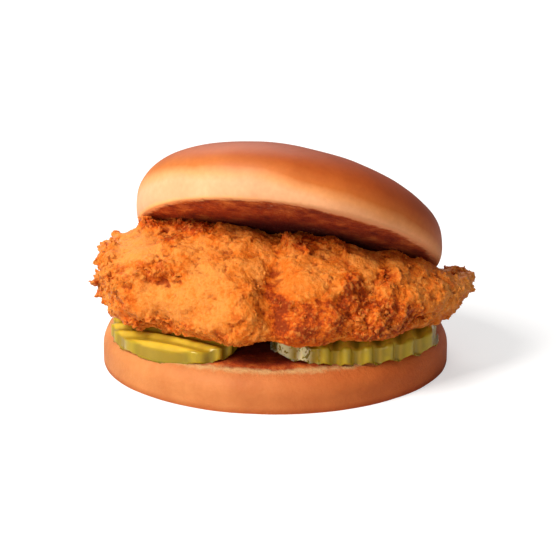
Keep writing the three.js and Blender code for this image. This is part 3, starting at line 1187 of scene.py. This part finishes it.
skin = gherkin.ramp(gherkin.noise(**WARTS), [(0.25, SKIN_SHADE), (0.5, SKIN)])
# painted light on the flute crests and painted shade in their valleys
skin = gherkin.tinted(skin, gherkin.ramp(gherkin.scaled(waves, 0.5, 0.5), FLUTE_LIGHT_AND_SHADE))
place = gherkin.add("ShaderNodeSeparateXYZ")
gherkin.join(gherkin.add("ShaderNodeTexCoord").outputs["Object"], place.inputs[0])
grey_end = gherkin.times(
    gherkin.steps(place.outputs["X"], *GREY_RIGHT),
    gherkin.steps(place.outputs["X"], *GREY_LEFT),
)
freckled = gherkin.ramp(gherkin.noise(**DARK_FRECKLES), [(0.4, SKIN_DARK), (0.47, GREY_SKIN)])
skin = gherkin.mix(gherkin.times(grey_end, 0.85), skin, freckled)
on_skin = gherkin.times(gherkin.steps(rim, *SKIN_BEGINS), 0.85)
gherkin.drive("Base Color", gherkin.mix(on_skin, flesh, skin))
gherkin.set(
    Roughness=0.22,
    Subsurface_Weight=0.5,
    Subsurface_Scale=0.003,
    Subsurface_Radius=(1.0, 0.7, 0.08),
    Specular_Tint=(1.0, 0.9, 0.6, 1.0),
)
gherkin.drive("Normal", gherkin.bump(gherkin.noise(**WET_GRAIN), WET_GRAIN_HEIGHT, strength=0.6))
for slice_piece in slices:
    slice_piece.data.materials.append(gherkin.material)
print("the gherkin's finish has", len(gherkin.tree.nodes), "nodes")

# %% [markdown]
# ### Fried breading
# The breading goes from light gold on the smooth plates through orange to red brown, and the red brown
# in the hollows is painted shade. Two noises, one of patches and one of grains, vary the tone round
# what each place has, and each flake adds its own. Small sharp edges are pale, partly from flour and
# partly as a painted highlight, high nubs are darker, and crisp patches of deep orange lie on the
# craggy places.

# %% Breading colour
# pale gold of the plates, and a painted highlight on small sharp edges
PALE_GOLD_AND_HIGHLIGHT = (0.84, 0.28, 0.05)
GOLD = (0.76, 0.195, 0.02)
ORANGE = (0.72, 0.135, 0.007)
DEEP_ORANGE = (0.5, 0.06, 0.004)
# red brown places of the crust, and painted shade in the hollows
RUSSET_AND_SHADE = (0.28, 0.028, 0.003)
FRYING = [(0.02, RUSSET_AND_SHADE), (0.18, DEEP_ORANGE), (0.38, ORANGE), (0.68, GOLD), (0.97, PALE_GOLD_AND_HIGHLIGHT)]
PATCHES = {"scale": 170, "detail": 4.0, "roughness": 0.6}
GRAINS = {"scale": 1000, "detail": 3.0, "roughness": 0.7}
CRISP_PATCHES = {"scale": 190, "detail": 5.0, "roughness": 0.65}
CRISP = (0.54, 0.64)

fried = Finish("fried_breading")
crag = fried.number("crag")
rise = fried.number("rise")
fine = fried.number("fine_relief")
broad = fried.number("broad_relief")
tone = fried.scaled(fried.noise(**PATCHES), 1.5, -0.75)
tone = fried.plus(tone, fried.scaled(fried.noise(**GRAINS), 1.4, -0.7))
flake_share = fried.scaled(crag, 0.3, 0.04)
tone = fried.plus(tone, fried.times(fried.number("flake_tone"), flake_share))
tone = fried.plus(fried.number("gold"), tone)
base = fried.ramp(fried.scaled(tone, 0.8, 0.25), FRYING)
for relief_there, begins, full, share, shade in (
    # pale sharp edges: partly flour, partly painted highlight
    (fine, 0.04, 0.22, 0.5, PALE_GOLD_AND_HIGHLIGHT),
    (rise, 0.6, 1.8, 0.3, DEEP_ORANGE),
    # painted shade in the broad and the fine hollows
    (broad, -0.1, -0.7, 0.85, RUSSET_AND_SHADE),
    (fine, -0.05, -0.28, 0.45, RUSSET_AND_SHADE),
):
    base = fried.mix(fried.times(fried.steps(relief_there, begins, full), share), base, shade)
crisp = fried.steps(fried.noise(**CRISP_PATCHES), *CRISP)
crisp = fried.times(crisp, fried.scaled(crag, 0.7, 0.1))
fried.drive("Base Color", fried.mix(crisp, base, DEEP_ORANGE))

# %% [markdown]
# Fried flour is dull on the plates, and the crags hold a little oil, so they are less rough. Their
# highlights are golden, because the light passes through the oil and the crust. The grains of flour
# are finer than the mesh, so two bumps, a coarse one and a fine one, stand for them.

# %% Breading sheen and flour grain
FLOUR = {"scale": 700, "detail": 3.0, "roughness": 0.7}
FLOUR_HEIGHT = 0.9 * MM
FINE_FLOUR = {"scale": 1600, "detail": 3.0, "roughness": 0.8}
FINE_FLOUR_HEIGHT = 0.4 * MM
OILED_CRAGS = (0.3, 0.9)
DULL = 0.56
LESS_DULL = -0.24

oiled = fried.steps(crag, *OILED_CRAGS)
fried.drive("Roughness", fried.scaled(oiled, LESS_DULL, DULL))
fried.set(
    Subsurface_Weight=0.15,
    Subsurface_Scale=0.002,
    Subsurface_Radius=(1.0, 0.4, 0.1),
    Specular_IOR_Level=0.35,
    Specular_Tint=(1.0, 0.6, 0.25, 1.0),
)
flour = fried.bump(fried.noise(**FLOUR), FLOUR_HEIGHT, strength=0.8)
flour = fried.bump(fried.noise(**FINE_FLOUR), FINE_FLOUR_HEIGHT, strength=0.8, under=flour)
fried.drive("Normal", flour)
for piece in (breading, crumbs):
    piece.data.materials.clear()
    piece.data.materials.append(fried.material)
print("the breading's finish has", len(fried.tree.nodes), "nodes")

# %% [markdown]
# ## Hand the pieces over
# Each piece rides on the one body of the model and takes the place of its node. Both the skin and its
# crumbs stand for the fillet.

# %% Tie the pieces to the model
for piece, node, slot in (
    (heel_bread, "heel", "bun"),
    (crown_bread, "crown", "bun"),
    (slices[0], "pickle_left", "gherkin"),
    (slices[1], "pickle_right", "gherkin"),
    (breading, "fillet", "breading"),
    (crumbs, "fillet", "breading"),
):
    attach(piece, "root")
    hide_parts(node)
    count(piece)
